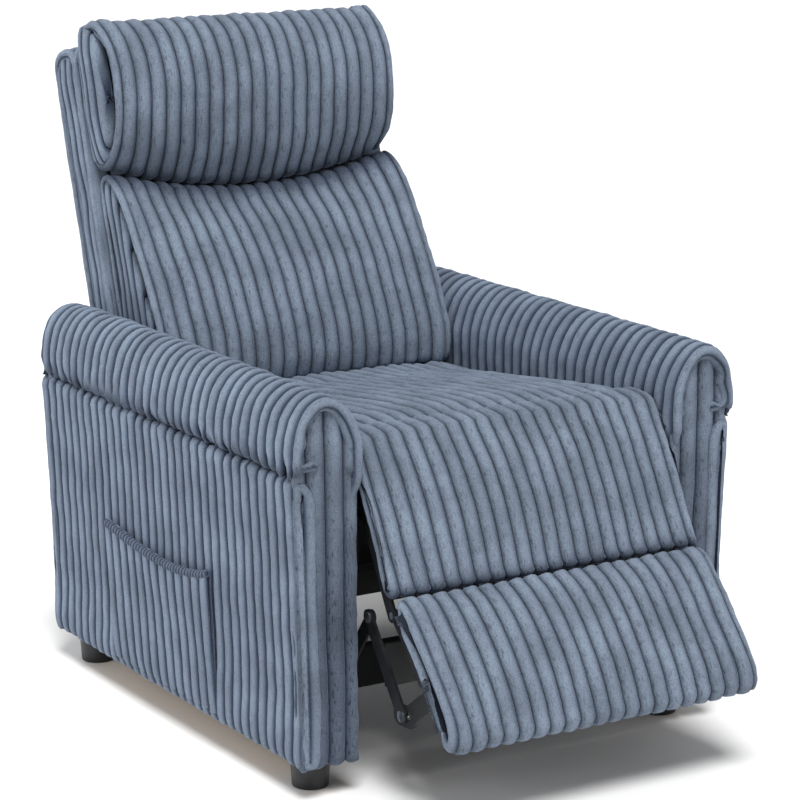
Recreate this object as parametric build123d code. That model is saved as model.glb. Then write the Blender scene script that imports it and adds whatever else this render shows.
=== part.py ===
from build123d import *
import math
import os

# Push-back recliner armchair. Millimetres, +Z up, the sitter faces -Y, +X is the sitter's left.
# Depths in this file are counted from the centre line of the front feet, towards the back.
# front_feet_y moves them into the part's frame, whose origin is under the middle of the chair.
front_feet_y = -288.0

# Overall sizes
arm_in_x = 262.0          # inner face of an arm
arm_out_low_x = 351.0     # outer face of an arm at its hem
arm_out_high_x = 365.0    # outer face of an arm under the roll
roll_out_x = 371.0        # widest place of the roll
arm_front = -67.0         # depth of the arm's front face
roll_front = -81.0        # depth of the rounded front rim
arm_rear = 715.0          # depth of the arm's back face
hem_z = 46.0              # underside of the arms
roll_seam_z = 458.0       # underside of the roll
roll_mid_z = 522.0        # centre of the roll's arch
roll_radius = 54.5
foot_radius = 28.8
foot_x = 302.0
foot_depths = (0.0, 670.0)
pad_half = 256.0          # half width of seat, leg rest and footrest pads
seat_top_front_z = 499.0
seat_top_rear_z = 446.0

# Joints: depth and height of each pivot
leg_pivot = (-25.0, 440.0)
fold_pivot = (-122.0, 268.0)
back_pivot = (610.0, 400.0)
pivot_pin_r = 5.0
running_gap = 0.05        # radial clearance of a pin in its hole
back_lean = math.radians(16.4)
steel = 4.0               # thickness of the stamped links
sides = {"right": -1, "left": 1}


def at(depth, height):
    return (depth + front_feet_y, height)


def block(x0, x1, y0, y1, z0, z1):
    # y0 and y1 are depths behind the front feet
    shape = Box(x1 - x0, y1 - y0, z1 - z0, align=(Align.MIN, Align.MIN, Align.MIN))
    return Pos(x0, y0 + front_feet_y, z0) * shape


def side_block(side, x0, x1, y0, y1, z0, z1):
    # x0 and x1 count outwards from the middle of the chair
    low, high = sorted((side * x0, side * x1))
    return block(low, high, y0, y1, z0, z1)


def slab(x0, x1, outline, round_r=0.0):
    # an outline of (depth, height) points, extruded across the chair
    face = make_face(Polyline(*[at(*p) for p in outline], close=True))
    if round_r:
        face = fillet(face.vertices(), round_r)
    low, high = sorted((x0, x1))
    return extrude(Plane.YZ.offset(low) * face, amount=high - low)


def curved_slab(x0, x1, smooth, corner_points):
    # one smooth stretch through "smooth", closed by straight runs through corner_points
    run = [at(*smooth[-1])] + [at(*p) for p in corner_points] + [at(*smooth[0])]
    edges = Spline(*[at(*p) for p in smooth]) + Polyline(*run)
    low, high = sorted((x0, x1))
    return extrude(Plane.YZ.offset(low) * make_face(edges), amount=high - low)


def rod(x0, x1, centre, radius):
    low, high = sorted((x0, x1))
    y, z = at(*centre)
    disc = Pos(y, z) * Circle(radius)
    return extrude(Plane.YZ.offset(low) * disc, amount=high - low)


def link(x0, x1, ends, width, holes=(), hole_r=pivot_pin_r + running_gap):
    # a flat bar with round ends, from pivot to pivot, through every point in "ends"
    low, high = sorted((x0, x1))
    bar = None
    for (a, b) in zip(ends, ends[1:]):
        (ay, az), (by, bz) = at(*a), at(*b)
        length = math.dist((ay, az), (by, bz))
        turn = math.degrees(math.atan2(bz - az, by - ay))
        piece = Pos((ay + by) / 2, (az + bz) / 2) * (Rot(0, 0, turn) * SlotCenterToCenter(length, width))
        bar = piece if bar is None else bar + piece
    for hole in holes:
        y, z = at(*hole)
        bar -= Pos(y, z) * Circle(hole_r)
    return extrude(Plane.YZ.offset(low) * bar, amount=high - low)


def along_x_profile(points, y0, y1):
    # an outline of (x, z) points, extruded from depth y0 to depth y1
    face = make_face(Polyline(*points, close=True))
    return extrude(Plane.XZ.offset(-(y1 + front_feet_y)) * face, amount=y1 - y0)


def turned(shape, pivot, degrees):
    # turns a shape about a pivot that runs across the chair
    y, z = at(*pivot)
    return Pos(0, y, z) * (Rot(degrees, 0, 0) * (Pos(0, -y, -z) * shape))


def group(*solids):
    return Compound(children=list(solids))


nodes = {}


# The fixed base: two arms, the rails between them and the feet

frame_in, frame_out = 286.0, 330.0
board = 24.0


def arm_frame(side):
    # plywood frame inside an arm: bottom rail, top rail and two posts
    front, rear = arm_front + 16, arm_rear - 16
    return group(
        side_block(side, frame_in, frame_out, front, rear, hem_z, hem_z + 50),
        side_block(side, frame_in, frame_out, front, rear, 410, 454),
        side_block(side, frame_in, frame_out, front, front + 60, hem_z + 50, 410),
        side_block(side, frame_in, frame_out, rear - 60, rear, hem_z + 50, 410),
        side_block(side, frame_in, frame_out, 300, 350, hem_z + 50, 410),
    )


def arm_inner_panel(side):
    return side_block(side, arm_in_x, frame_in - 0.2, arm_front + 15, arm_rear - 14, hem_z, roll_seam_z)


def outer_x(z):
    # the outer face leans outwards from hem to roll
    return arm_out_low_x + (arm_out_high_x - arm_out_low_x) * (z - hem_z) / (roll_seam_z - hem_z)


def arm_outer_panel(side):
    outline = [(frame_out + 0.2, hem_z), (outer_x(hem_z), hem_z), (outer_x(roll_seam_z), roll_seam_z)]
    outline.append((frame_out + 0.2, roll_seam_z))
    return along_x_profile([(side * x, z) for x, z in outline], arm_front + 15, arm_rear - 14)


def arm_roll(side):
    # padded arm rest: an arch on two straight sides, with a full front rim
    mid = roll_out_x - roll_radius
    low = roll_seam_z + 0.2
    sides_z = roll_mid_z
    arch_ends = [(mid + roll_radius, sides_z), (mid, sides_z + roll_radius), (mid - roll_radius, sides_z)]
    arch = ThreePointArc(*arch_ends)
    corners = [(mid - roll_radius, sides_z), (arm_in_x, low)]
    corners += [(arm_out_high_x + 3, low), (mid + roll_radius, sides_z)]
    rest = Polyline(*corners)
    face = make_face(arch + rest)
    if side < 0:
        face = mirror(face, about=Plane.YZ)
    solid = extrude(Plane.XZ.offset(-(arm_rear + front_feet_y)) * face, amount=arm_rear - roll_front)
    ends = solid.faces().sort_by(Axis.Y)
    rim = ends[0].edges() + ends[-1].edges()
    return fillet(rim.filter_by(lambda e: e.center().Z > low + 5), 10)


def arm_section(side, y0, y1):
    # a slice of the arm below its roll
    outline = [(arm_in_x, hem_z), (outer_x(hem_z), hem_z)]
    outline += [(outer_x(roll_seam_z), roll_seam_z), (arm_in_x, roll_seam_z)]
    return along_x_profile([(side * x, z) for x, z in outline], y0, y1)


def arm_front_panel(side):
    return arm_section(side, arm_front, arm_front + 14.8)


def arm_back_panel(side):
    return arm_section(side, arm_rear - 13.8, arm_rear)


def foot(side, depth):
    y = depth + front_feet_y
    body = Pos(side * foot_x, y, hem_z / 2) * Cone(foot_radius - 3, foot_radius, hem_z)
    return fillet(body.edges().sort_by(Axis.Z)[:1], 3)


def side_pocket():
    # a flat bag on the outside of the right arm, open at the top
    face_in, face_out = 365.0, 369.0
    low_z, mouth_z = 58.0, 274.0
    front, rear = 168.0, 497.0
    gap = 0.3

    def strip(y0, y1, z0, z1):
        outline = [(-(outer_x(z0) + gap), z0), (-face_in, z0), (-face_in, z1), (-(outer_x(z1) + gap), z1)]
        return along_x_profile(outline, y0, y1)

    bag = block(-face_out, -face_in, front, rear, low_z, mouth_z)
    bag += strip(front, front + 6, low_z, mouth_z)
    bag += strip(rear - 6, rear, low_z, mouth_z)
    bag += strip(front, rear, low_z, low_z + 6)
    return bag


front_rail_depths = (102.0, 120.0)
front_rail_heights = (88.0, 149.0)

for name, side in sides.items():
    nodes["arm_frame_" + name] = arm_frame(side)
    nodes["arm_inner_panel_" + name] = arm_inner_panel(side)
    nodes["arm_outer_panel_" + name] = arm_outer_panel(side)
    nodes["arm_roll_" + name] = arm_roll(side)
    nodes["arm_front_panel_" + name] = arm_front_panel(side)
    nodes["arm_back_panel_" + name] = arm_back_panel(side)
    for end, depth in zip(("front", "rear"), foot_depths):
        nodes[f"foot_{end}_{name}"] = foot(side, depth)
    # angle irons screwed to the inner panels, which carry the glide channels
    nodes["glide_channel_" + name] = group(
        side_block(side, 254.0, arm_in_x - 0.2, 110, 560, 282, 286),
        side_block(side, 258.0, arm_in_x - 0.2, 110, 560, 286, 312),
    )

nodes["side_pocket"] = side_pocket()
nodes["base_front_rail"] = block(-arm_in_x + 0.2, arm_in_x - 0.2, *front_rail_depths, *front_rail_heights)
nodes["base_rear_rail"] = block(-arm_in_x + 0.2, arm_in_x - 0.2, 640, 664, 90, 200)


# The seat: a timber frame on two steel side plates, which glide forwards in the channels

plate_in, plate_out = 246.0, 250.0      # side plates, either side of the seat frame
frame_low, frame_high = 330.0, 372.0
seat_rear = 556.0


def seat_side_rail(side):
    return side_block(side, 222, plate_in, 8, seat_rear, frame_low, frame_high)


def seat_cross_rail(depth):
    return block(-222, 222, depth, depth + 24, frame_low, frame_high)


def seat_springs():
    # five zigzag wires from the front rail to the rear rail
    wires = []
    count, swing, step, wire_r = 5, 16.0, 44.0, 1.9
    front, rear, height = 12.0, seat_rear - 4, frame_high + 2.0
    turns = int((rear - front) / step)
    for i in range(count):
        mid = (i - (count - 1) / 2) * 84.0
        points = []
        for n in range(turns + 1):
            points.append((mid + swing * (-1) ** n, front + front_feet_y + n * step, height))
        path = FilletPolyline(*points, radius=12)
        section = Plane(origin=path @ 0, z_dir=path % 0) * Circle(wire_r)
        wires.append(sweep(section, path=path))
    return group(*wires)


def seat_cushion():
    top = [(-8, seat_top_front_z - 8), (4, seat_top_front_z), (200, 490), (seat_rear - 80, 456)]
    top += [(seat_rear - 58, seat_top_rear_z)]
    under = [(seat_rear - 10, seat_top_rear_z - 6), (seat_rear, frame_high + 30), (seat_rear, frame_high + 8)]
    return slab(-pad_half, pad_half, top + under + [(-8, frame_high + 8)])


def side_plate(side):
    x0, x1 = side * plate_in, side * plate_out
    front_x, front_z = leg_pivot
    body = link(x0, x1, [leg_pivot, (front_x, 351), (seat_rear, 351), back_pivot], 26)
    body += side_block(side, plate_in, plate_out, 190, 540, 287, 345)
    for pivot in (leg_pivot, back_pivot):
        body -= rod(x0, x1, pivot, pivot_pin_r + running_gap)
    return body


def glide_runner(side):
    # the sliding bar that runs in the channel, with a low-friction face
    return side_block(side, plate_out, 257.6, 190, 540, 287, 309)


def mech_cross_tube():
    tube = block(-226, 226, 34, 66, 250, 284) - block(-227, 227, 37, 63, 253, 281)
    for side in (-1, 1):
        tube += side_block(side, 196, 220, 42, 58, 283.9, frame_low)
    return tube


def pivot_pin(side, pivot, inner, outer):
    # a plain shank with a flat head outside the plate
    shank = rod(side * inner, side * outer, pivot, pivot_pin_r)
    return shank + rod(side * outer, side * (outer + 3), pivot, 8)


for name, side in sides.items():
    nodes["seat_rail_" + name] = seat_side_rail(side)
    nodes["side_plate_" + name] = side_plate(side)
nodes["glide_runners"] = group(*[glide_runner(s) for s in (-1, 1)])
nodes["seat_rail_front"] = seat_cross_rail(8)
nodes["seat_rail_rear"] = seat_cross_rail(seat_rear - 24)
nodes["seat_springs"] = seat_springs()
nodes["seat_cushion"] = seat_cushion()
nodes["mech_cross_tube"] = mech_cross_tube()
nodes["legrest_pivot_pins"] = group(*[pivot_pin(s, leg_pivot, 239, plate_out) for s in (-1, 1)])
nodes["back_pivot_pins"] = group(*[pivot_pin(s, back_pivot, 239, plate_out) for s in (-1, 1)])


# The leg rest: the front of the seat, which swings up about leg_pivot

arm_layer = (240.0, 244.0)       # steel of the leg rest, inside the side plates
inner_layer = (235.8, 239.8)     # links and brackets inside that
apex = (-60.0, 250.0)
boss = (-147.0, 132.0)
short_link_end = (-10.0, 180.0)
pad_back = [(-70, 409), (-124, 292)]


def legrest_pad():
    front = [(-66, 456), (-92, 425), (-116, 380), (-134, 340), (-147, 306)]
    return curved_slab(-pad_half, pad_half, front, [pad_back[1], pad_back[0], (-61, 440)])


def legrest_board():
    (y0, z0), (y1, z1) = pad_back
    length = math.dist(pad_back[0], pad_back[1])
    across = (12 * (z0 - z1) / length, -12 * (y0 - y1) / length)
    outline = [(y0, z0), (y1, z1), (y1 + across[0], z1 + across[1]), (y0 + across[0], z0 + across[1])]
    return slab(-arm_layer[0], arm_layer[0], outline)


def legrest_arm(side):
    x0, x1 = side * arm_layer[0], side * arm_layer[1]
    return link(x0, x1, [leg_pivot, (-92, 322), fold_pivot], 20, holes=[leg_pivot, fold_pivot])


def legrest_hangers():
    # two straps that carry the cross plate behind the footrest
    straps = []
    for x in (-150.0, 150.0):
        outline = [(-108, 293), (-98, 226), (-98, 206), (-92, 206), (-92, 252), (-95, 300)]
        straps.append(slab(x - 12, x + 12, outline))
    return group(*straps)


def ottoman_cross_plate():
    return block(-arm_layer[0], arm_layer[0], -103, -98.2, 161, 222)


def long_link(side):
    return link(side * arm_layer[0], side * arm_layer[1], [apex, boss], 22, holes=[apex, boss])


def short_link(side):
    return link(side * inner_layer[0], side * inner_layer[1], [apex, short_link_end], 20, holes=[apex])


def link_rivets():
    rivets = []
    for side in (-1, 1):
        for centre in (apex, boss):
            shank = rod(side * 234, side * arm_layer[1], centre, pivot_pin_r)
            rivets.append(shank + rod(side * arm_layer[1], side * (arm_layer[1] + 1.6), centre, 8))
    return group(*rivets)


nodes["legrest_pad"] = legrest_pad()
nodes["legrest_board"] = legrest_board()
nodes["legrest_hangers"] = legrest_hangers()
nodes["ottoman_cross_plate"] = ottoman_cross_plate()
nodes["link_rivets"] = link_rivets()
for name, side in sides.items():
    nodes["legrest_arm_" + name] = legrest_arm(side)
    nodes["long_link_" + name] = long_link(side)
    nodes["short_link_" + name] = short_link(side)


# The footrest: a padded board that folds on the end of the leg rest

foot_back = [(-152, 270), (-260, 150)]


def footrest_pad():
    front = [(-152, 299), (-178, 291), (-234, 233), (-284, 176), (-291, 145), (-281, 121)]
    return curved_slab(-pad_half, pad_half, front, [(-270, 124), foot_back[1], foot_back[0]])


def footrest_board():
    (y0, z0), (y1, z1) = (-159.7, 260.9), (-251.7, 158.7)
    length = math.dist((y0, z0), (y1, z1))
    across = (12 * (z0 - z1) / length, -12 * (y0 - y1) / length)
    outline = [(y0, z0), (y1, z1), (y1 + across[0], z1 + across[1]), (y0 + across[0], z0 + across[1])]
    return slab(-inner_layer[0], inner_layer[0], outline)


def footrest_hinge_leaf(side):
    x0, x1 = side * inner_layer[0], side * inner_layer[1]
    return link(x0, x1, [fold_pivot, (-150, 240), (-192, 193)], 18, holes=[fold_pivot])


def footrest_bracket(side):
    # a steel ear with a curved slot, in which the end rivet of the long link travels
    x0, x1 = side * inner_layer[0], side * inner_layer[1]
    ear = link(x0, x1, [(-160, 132), (-136, 132)], 30) + link(x0, x1, [(-158, 134), (-216, 178)], 26)
    radius = math.dist(fold_pivot, boss)
    pivot_y, pivot_z = at(*fold_pivot)
    middle = math.degrees(math.atan2(boss[1] - fold_pivot[1], boss[0] - fold_pivot[0]))
    travel = CenterArc((pivot_y, pivot_z), radius, middle - 5.5, 10.5)
    slot = SlotArc(travel, 2 * (pivot_pin_r + 0.4))
    low, high = sorted((x0, x1))
    return ear - extrude(Plane.YZ.offset(low) * slot, amount=high - low)


def fold_pin(side):
    return rod(side * 234, side * arm_layer[1], fold_pivot, pivot_pin_r)


nodes["footrest_pad"] = footrest_pad()
nodes["footrest_board"] = footrest_board()
nodes["footrest_hinge_leaves"] = group(*[footrest_hinge_leaf(s) for s in (-1, 1)])
nodes["fold_pins"] = group(*[fold_pin(s) for s in (-1, 1)])
for name, side in sides.items():
    nodes["footrest_bracket_" + name] = footrest_bracket(side)


# The backrest, drawn upright and then leant back about its pivot

shell_front, shell_rear = 628.0, 702.0   # depths while upright
shell_top = 980.0
shell_half, shell_low_half = 266.0, 255.0
shoulder_z = 600.0                       # above this the shell is wider than the gap between the arms


def leant(shape):
    return turned(shape, back_pivot, -math.degrees(back_lean))


def back_shell():
    outside = block(-shell_half, shell_half, shell_front, shell_rear, shoulder_z, shell_top)
    edges = outside.edges().filter_by(Axis.X).sort_by(Axis.Z)[-2:] + outside.edges().filter_by(Axis.Z)
    outside = fillet(edges, 14)
    inside = block(-241, 241, shell_front - 1, 690, shoulder_z - 1, 967)
    lower = block(-shell_low_half, shell_low_half, 690, shell_rear, 400, shoulder_z)
    return leant(outside - inside + lower)


def back_upright(side):
    return leant(side_block(side, 216, 240, 640, 689.7, 392, 966))


def back_rail(z0, z1):
    return leant(block(-216, 216, 640, 689.7, z0, z1))


def back_webbing():
    # elastic bands across the front of the uprights
    bands = [block(-238, 238, 637.4, 640, z, z + 50) for z in (470, 560, 650, 740, 830)]
    return group(*[leant(band) for band in bands])


def lumbar_pad():
    front = [(506, 463), (502, 505), (524, 561), (560, 620), (600, 678), (640, 736), (668, 758)]
    return curved_slab(-258, 258, front, [(724, 752), (637, 456)])


def head_pad():
    front = [(690, 776), (650, 783), (622, 812), (619, 862), (628, 920), (645, 975), (674, 1008), (716, 1004)]
    return curved_slab(-266, 266, front + [(762, 984)], [(781, 962), (781, 938), (735, 778)])


def back_bracket(side):
    x0, x1 = side * arm_layer[0], side * arm_layer[1]
    knee, top = (656, 448), (656, 570)
    return leant(link(x0, x1, [back_pivot, knee, top], 28, holes=[back_pivot]))


nodes["back_shell"] = back_shell()
nodes["back_rail_top"] = back_rail(926, 966)
nodes["back_rail_bottom"] = back_rail(400, 440)
nodes["back_webbing"] = back_webbing()
nodes["lumbar_pad"] = lumbar_pad()
nodes["head_pad"] = head_pad()
for name, side in sides.items():
    nodes["back_upright_" + name] = back_upright(side)
    nodes["back_bracket_" + name] = back_bracket(side)


os.makedirs("parts", exist_ok=True)
for name, shape in nodes.items():
    export_step(shape, f"parts/{name}.step")
print(len(nodes), "nodes written")
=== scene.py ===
import bpy
import math
import numpy as np
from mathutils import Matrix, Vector


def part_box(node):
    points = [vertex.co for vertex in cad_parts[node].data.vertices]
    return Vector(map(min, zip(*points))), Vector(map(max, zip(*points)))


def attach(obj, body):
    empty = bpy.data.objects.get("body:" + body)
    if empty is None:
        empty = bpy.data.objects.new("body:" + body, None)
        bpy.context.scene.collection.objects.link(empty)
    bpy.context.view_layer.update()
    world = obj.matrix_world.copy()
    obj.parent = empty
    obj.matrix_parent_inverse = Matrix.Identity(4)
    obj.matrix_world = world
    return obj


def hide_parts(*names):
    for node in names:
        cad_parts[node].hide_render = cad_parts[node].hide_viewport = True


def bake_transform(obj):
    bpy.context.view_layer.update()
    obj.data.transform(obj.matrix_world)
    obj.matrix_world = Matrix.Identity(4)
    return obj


# Push-back recliner in wide plush corduroy. Lengths below are millimetres unless a name says otherwise.

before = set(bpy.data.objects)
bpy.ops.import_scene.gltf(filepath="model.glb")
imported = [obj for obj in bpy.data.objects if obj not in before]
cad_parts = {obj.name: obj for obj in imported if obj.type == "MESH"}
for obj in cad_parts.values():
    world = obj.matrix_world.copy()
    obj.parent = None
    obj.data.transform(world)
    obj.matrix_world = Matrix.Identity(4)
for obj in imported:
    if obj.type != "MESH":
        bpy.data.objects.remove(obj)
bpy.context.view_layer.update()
print("frame loaded:", len(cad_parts), "nodes")


def boxMm(node):
    low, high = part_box(node)
    return np.array(low) * 1000, np.array(high) * 1000


footLow, footHigh = boxMm("foot_front_left")
feetY = (footLow[1] + footHigh[1]) / 2  # depths are counted from the front feet's centre line
hemZ = boxMm("arm_front_panel_left")[0][2]
rollLow, rollHigh = boxMm("arm_roll_left")
armRear = rollHigh[1] - feetY
armFront = rollLow[1] - feetY
seatHalf = boxMm("seat_cushion")[1][0]
headHalf = boxMm("head_pad")[1][0]
lumbarHalf = boxMm("lumbar_pad")[1][0]
shellHalf = boxMm("back_shell")[1][0]


def deselectAll():
    for item in bpy.context.selected_objects:
        item.select_set(False)
    bpy.context.view_layer.objects.active = None


# Cloth helpers: a pad is a closed loop (its section) repeated at stations across it, one rib after another

cord = {
    "pitch": 24.6,      # one rib and its groove
    "height": 7.6,      # crest above the groove
    "roundness": 0.85,  # lower is squarer, with narrower grooves
    "ribSteps": 10,     # stations over one rib
    "alongStep": 9.0,   # spacing of points along a rib
    "wander": 1.2,      # how far a rib strays sideways
}


def smoothLine(points, closed, step):
    # a Catmull-Rom line through given points, resampled at even spacing
    points = np.array(points, float)
    count = len(points)
    dense = []
    spans = count if closed else count - 1
    for i in range(spans):
        if closed:
            a, b, c, d = (points[(i + k) % count] for k in (-1, 0, 1, 2))
        else:
            b, c = points[i], points[i + 1]
            a = points[i - 1] if i > 0 else 2 * b - c
            d = points[i + 2] if i + 2 < count else 2 * c - b
        ta, tb = 0.0, math.dist(a, b) ** 0.5
        tc = tb + math.dist(b, c) ** 0.5
        td = tc + math.dist(c, d) ** 0.5
        t = np.linspace(tb, tc, 16, endpoint=False)[:, None]
        ab = (tb - t) / (tb - ta) * a + (t - ta) / (tb - ta) * b
        bc = (tc - t) / (tc - tb) * b + (t - tb) / (tc - tb) * c
        cd = (td - t) / (td - tc) * c + (t - tc) / (td - tc) * d
        abc = (tc - t) / (tc - ta) * ab + (t - ta) / (tc - ta) * bc
        bcd = (td - t) / (td - tb) * bc + (t - tb) / (td - tb) * cd
        dense.append((tc - t) / (tc - tb) * abc + (t - tb) / (tc - tb) * bcd)
    dense = np.concatenate(dense)
    dense = np.vstack([dense, points[0] if closed else points[-1]])
    run = np.concatenate([[0], np.cumsum(np.linalg.norm(np.diff(dense, axis=0), axis=1))])
    number = max(8, round(run[-1] / step))
    wanted = np.linspace(0, run[-1], number + 1)
    line = np.stack([np.interp(wanted, run, dense[:, k]) for k in range(2)], 1)
    return (line[:-1] if closed else line), run[-1]


def nearestOnLine(points, line):
    # for each point, the closest place on a polyline
    line = np.array(line, float)
    best = np.full(len(points), 1e18)
    found = np.zeros_like(points)
    for a, b in zip(line[:-1], line[1:]):
        d = b - a
        t = np.clip(((points - a) @ d) / (d @ d), 0, 1)
        q = a + t[:, None] * d
        gap = ((points - q) ** 2).sum(1)
        closer = gap < best
        best[closer] = gap[closer]
        found[closer] = q[closer]
    return found


def softNoise(p, size, seed):
    # smooth seeded variation between about -1 and 1, with features of the given size
    rng = np.random.default_rng(seed)
    total = np.zeros(p.shape[:-1])
    for wave in range(7):
        direction = rng.normal(size=3)
        direction /= np.linalg.norm(direction)
        spacing = size * rng.uniform(0.7, 1.6)
        total += np.sin(p @ direction * (2 * math.pi / spacing) + rng.uniform(0, 2 * math.pi))
    return total / 2.6


def gridNormals(grid):
    # normals of a closed-loop grid (stations, loop, xyz)
    along = np.roll(grid, -1, 1) - np.roll(grid, 1, 1)
    across = np.gradient(grid, axis=0)
    normal = np.cross(across, along)
    return normal / np.maximum(np.linalg.norm(normal, axis=2, keepdims=True), 1e-9)


def makeMesh(name, grid, across, along, marks):
    # grid of stations and loops to a closed mesh, with a UV map in metres across and along the ribs
    stations, loop = grid.shape[:2]
    verts = grid.reshape(-1, 3) / 1000
    index = np.arange(stations * loop).reshape(stations, loop)
    a, b = index[:-1], index[1:]
    a2, b2 = np.roll(a, -1, 1), np.roll(b, -1, 1)
    quads = np.stack([a, a2, b2, b], -1).reshape(-1, 4)
    mesh = bpy.data.meshes.new(name)
    faces = quads.tolist() + [index[0][::-1].tolist(), index[-1].tolist()]
    mesh.from_pydata(verts.tolist(), [], faces)
    uvAcross = np.repeat(across[:, None], loop, 1).ravel() / 1000
    uvAlong = np.repeat(along[None, :], stations, 0)
    uv = mesh.uv_layers.new(name="UVMap")
    loops = np.zeros(len(mesh.loops), np.int32)
    mesh.loops.foreach_get("vertex_index", loops)
    flat = np.stack([uvAcross, uvAlong.ravel() / 1000], 1)
    length = (along[-1] + along[1]) / 1000
    values = flat[loops]
    quadLoops = len(quads) * 4
    part = values[:quadLoops].reshape(-1, 4, 2)
    wrap = (part[:, :, 1].max(1) - part[:, :, 1].min(1)) > length / 2
    part[wrap, :, 1] = np.where(part[wrap, :, 1] < length / 2, part[wrap, :, 1] + length, part[wrap, :, 1])
    uv.data.foreach_set("uv", values.astype(np.float32).ravel())
    for mark, value in marks.items():
        attribute = mesh.attributes.new(mark, "FLOAT", "POINT")
        attribute.data.foreach_set("value", value.astype(np.float32).ravel())
    mesh.polygons.foreach_set("use_smooth", np.ones(len(mesh.polygons), bool))
    piece = bpy.data.objects.new(name, mesh)
    bpy.context.collection.objects.link(piece)
    mesh.update()
    return piece


def ribStations(half, rounding, gusset, pitch, quarterTurns):
    # arc lengths across a pad from one end to the other, with the rib phase at each
    total = 2 * (half - rounding) + quarterTurns * math.pi * rounding + 2 * gusset
    ribs = max(2, round(total / pitch))
    steps = cord["ribSteps"]
    theta = np.linspace(0, math.pi, steps + 1)[:-1]
    places = ((np.arange(ribs)[:, None] + (1 - np.cos(theta)) / 2) / ribs).ravel()
    phase = np.append(np.tile(theta, ribs), 0.0)
    ribNumber = np.append(np.repeat(np.arange(ribs), steps), ribs - 1)
    return (np.append(places, 1.0) - 0.5) * total, phase, ribNumber, total


def acrossAt(s, half, rounding, quarterTurns):
    # arc length to (position across, inset from the outline): one quarter turn ends in a flat gusset,
    # two roll the edge right under, like the rim of an arm
    flat = half - rounding
    turn = np.clip((np.abs(s) - flat) / rounding, 0, quarterTurns * math.pi / 2)
    beyond = np.maximum(np.abs(s) - flat - rounding * quarterTurns * math.pi / 2, 0)
    place = np.minimum(np.abs(s), flat) + rounding * np.sin(turn)
    inset = rounding * (1 - np.cos(turn))
    if quarterTurns == 1:
        return np.sign(s) * place, inset + beyond
    return np.sign(s) * (place - beyond), inset


def ribbedPad(name, outline, spine, half, rounding=22.0, gusset=20.0, quarterTurns=1, axis="x", middle=0.0,
              shape=None, warp=None, shade=None, height=None, pitch=None, step=None, settle=None, seed=1):
    # outline and spine are (depth, height) points for axis x, or (across, height) points for axis y
    height = height or cord["height"]
    loop, length = smoothLine(outline, True, step or cord["alongStep"])
    if np.sum(loop[:, 0] * np.roll(loop[:, 1], -1) - np.roll(loop[:, 0], -1) * loop[:, 1]) < 0:
        loop = loop[::-1]
    toCore = nearestOnLine(loop, spine) - loop
    depth = np.linalg.norm(toCore, axis=1)
    inward = toCore / depth[:, None]
    s, phase, rib, total = ribStations(half, rounding, gusset, pitch or cord["pitch"], quarterTurns)
    outwards = -1 if axis == "x" else 1

    def surface(places):
        # the plain padded form, before its ribs
        across, inset = acrossAt(places, half, rounding, quarterTurns)
        inset = np.minimum(inset[:, None], 0.93 * depth[None, :])
        section = loop[None] + inward[None] * inset[..., None]
        across = np.repeat(across[:, None] + middle, len(loop), 1)
        parts = (across, section[..., 0], section[..., 1])
        grid = np.stack(parts if axis == "x" else (parts[1], parts[0], parts[2]), -1)
        if warp is not None:
            grid = warp(grid)
        if shape is not None:
            share = np.clip(np.abs(places) / (total / 2), 0, 1)[:, None]
            grid = grid + shape(grid, share, gridNormals(grid) * outwards)
        return grid

    base = surface(s)
    if settle is not None:
        base = settleCloth(name, surface, total, half, settle)(s)
    normal = gridNormals(base) * outwards
    rng = np.random.default_rng(seed)
    tall = rng.uniform(0.92, 1.06, rib.max() + 1)[rib][:, None]
    crest = np.repeat(np.sin(phase)[:, None] ** cord["roundness"], len(loop), 1)
    lumps = 0.09 * softNoise(base, 60, seed) + 0.06 * softNoise(base, 19, seed + 7)
    rise = height * (crest * tall * (1 + lumps) - 1)
    grid = base + normal * rise[..., None]
    marks = {
        "ribCrest": crest,
        "ribFlank": np.repeat(np.cos(phase)[:, None], len(loop), 1) * (-1 if axis == "x" else 1),
        # seamShade holds painted shade, from 0 to 1
        "seamShade": np.zeros_like(crest) if shade is None else np.clip(shade(base), 0, 1),
    }
    acrossAxis = 0 if axis == "x" else 1
    stretch = np.ones(3)
    stretch[acrossAxis] = 0.3
    inFlat = (np.abs(s) < half - rounding)[:, None]
    grid[..., acrossAxis] += cord["wander"] * softNoise(base * stretch, 130, seed + 3) * inFlat
    grid[..., 1] += feetY
    if axis == "y":
        grid = grid[:, ::-1]
        marks = {mark: value[:, ::-1] for mark, value in marks.items()}
    return makeMesh(name, grid, s, np.linspace(0, length, len(loop), endpoint=False), marks)


def smoothStep(value, low, high):
    t = np.clip((value - low) / (high - low), 0, 1)
    return t * t * (3 - 2 * t)


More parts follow.
